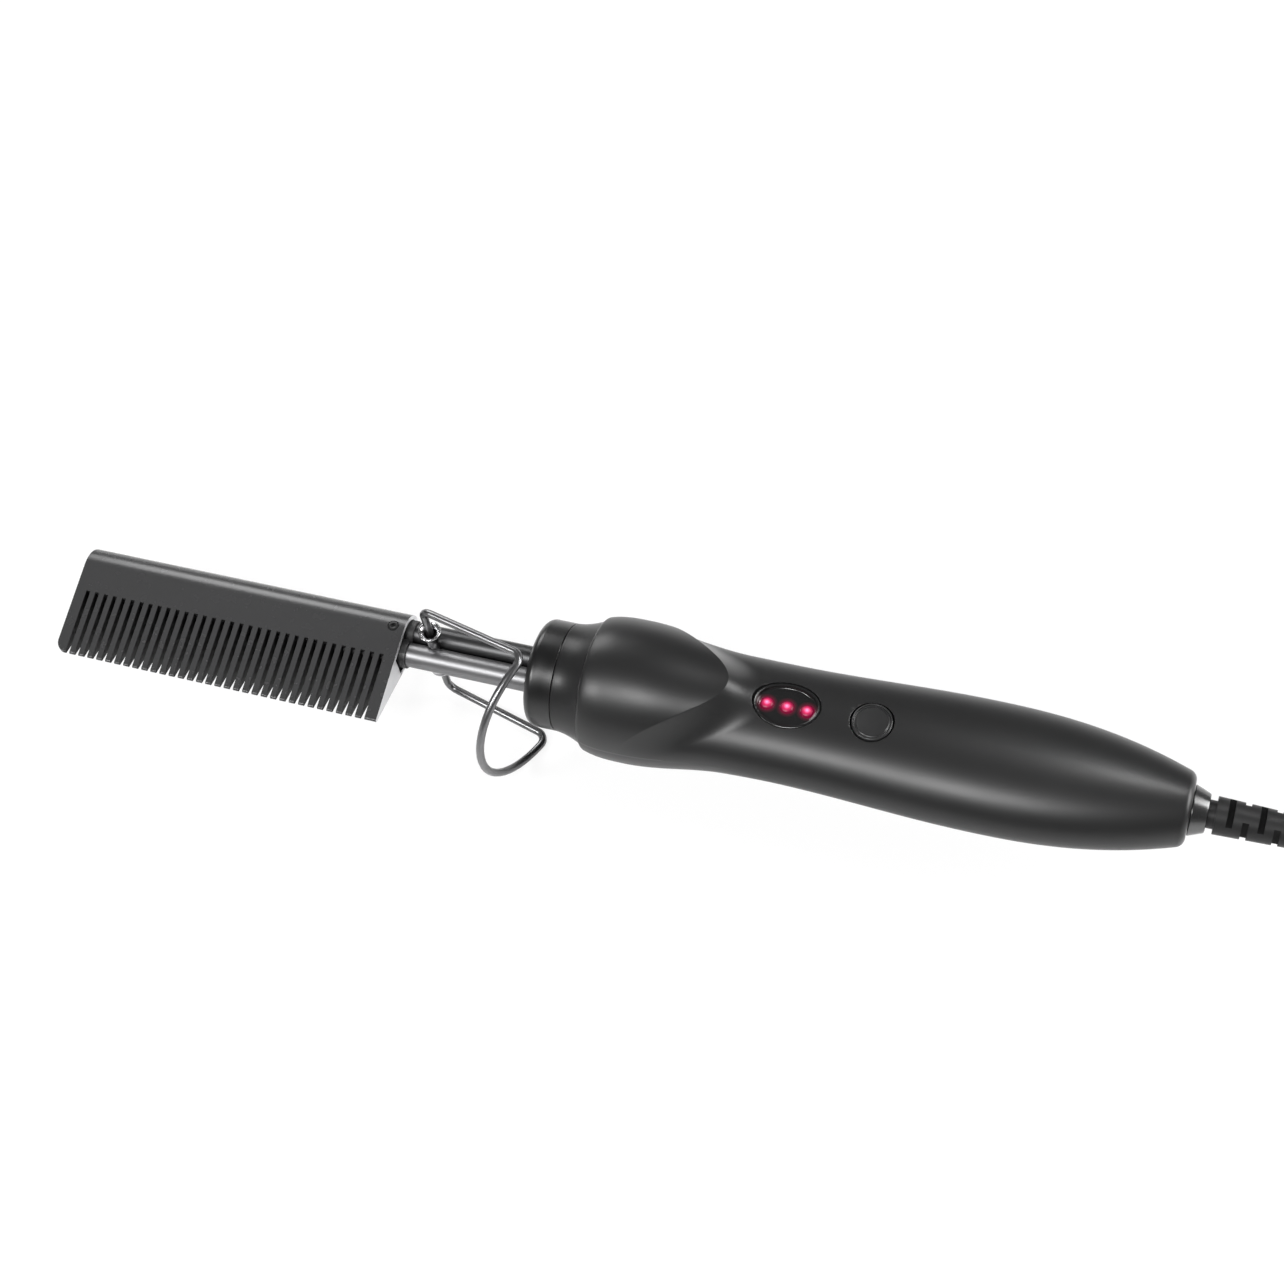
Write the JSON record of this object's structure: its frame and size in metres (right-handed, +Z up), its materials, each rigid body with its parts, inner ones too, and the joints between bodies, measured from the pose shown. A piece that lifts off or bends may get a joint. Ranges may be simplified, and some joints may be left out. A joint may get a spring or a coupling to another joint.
{
  "type": "hot comb",
  "caption": "Electric hot comb with a hollow cast comb, two-tube stem, folding wire stand, two-shell handle with indicator window and power button, and a swivelling cord with a plug",
  "frame": {"origin": "middle of the tool's box, without the free cord, on the surface it lies on", "axes": "+X from the comb to the cord, +Y towards the comb's spine, +Z up, out of the button's face"},
  "size_m": [0.502, 0.0522, 0.0401],
  "materials": {
    "comb_coating": "ceramic coating, satin",
    "dark_screw": "black oxide",
    "aluminium": "plain extruded",
    "ceramic": "sintered ceramic, matte",
    "insulator": "glass-filled moulding",
    "clamp_resin": "heat-resistant moulding",
    "stem_steel": "gunmetal plating, bright",
    "bush_steel": "turned, bright rims",
    "wire_steel": "gunmetal plating, satin",
    "collar_gloss": "polished black",
    "neck_gloss": "polished dark grey",
    "handle_plastic": "fine spark texture",
    "window_gloss": "polished black, smoked",
    "light_lens": "tinted lens",
    "button_plastic": "soft satin",
    "plunger_plastic": "natural nylon",
    "switch_plastic": "black nylon",
    "board": "green solder mask",
    "steel": "zinc plated",
    "capacitor_case": "blue epoxy case",
    "fuse_case": "nickel plated can",
    "lead_insulation": "woven glass sleeve",
    "supply_insulation": "plain vinyl",
    "brass": "plain stamped",
    "swivel_plastic": "polished grey",
    "relief_rubber": "matte moulded",
    "cord_jacket": "smooth vinyl",
    "tie_strap": "woven hook strap",
    "plug_vinyl": "moulded vinyl",
    "plug_metal": "nickel plated"
  },
  "bodies": {
    "tool": {"comb_shell": "comb_coating", "comb_screw": "dark_screw", "heater_bar": "aluminium", "ptc_element": "ceramic", "comb_mount": "insulator", "stem_tube_spine": "stem_steel", "stem_tube_teeth": "stem_steel", "pivot_bush": "bush_steel", "front_collar": "collar_gloss", "neck_ring": "neck_gloss", "stem_clamp": "clamp_resin", "handle_upper": "handle_plastic", "handle_lower": "handle_plastic", "handle_screws": "steel", "indicator_window": "window_gloss", "indicator_lights": "light_lens", "button_switch": "switch_plastic", "circuit_board": "board", "board_screws": "steel", "triac": "switch_plastic", "capacitor": "capacitor_case", "thermal_fuse": "fuse_case", "heater_leads": "lead_insulation", "supply_leads": "supply_insulation", "contact_carrier": "clamp_resin", "contact_blades": "brass", "cord_lead": "cord_jacket", "cord_hank": "cord_jacket", "cord_tail": "cord_jacket", "cord_tie": "tie_strap", "plug_body": "plug_vinyl", "plug_pins": "plug_metal"},
    "stand": {"wire_stand": "wire_steel"},
    "button": {"power_button": "button_plastic", "switch_plunger": "plunger_plastic"},
    "swivel": {"swivel_body": "swivel_plastic", "slip_rings": "brass", "strain_relief": "relief_rubber"}
  },
  "joints": [
    {"name": "stand_pivot", "type": "hinge", "parent": "tool", "child": "stand", "pos_m": [-0.0642, 0.00504, 0.02003], "axis": [0, 0, 1], "range_deg": [-75, 20]},
    {"name": "button_press", "type": "slide", "parent": "tool", "child": "button", "axis": [0, 0, -1], "range_m": [0, 0.0005], "stiffness_N_per_m": 1200, "springref_m": -0.0003},
    {"name": "cord_swivel", "type": "hinge", "parent": "tool", "child": "swivel", "pos_m": [0.1143, 0.00504, 0.02003], "axis": [1, 0, 0], "continuous": true}
  ]
}
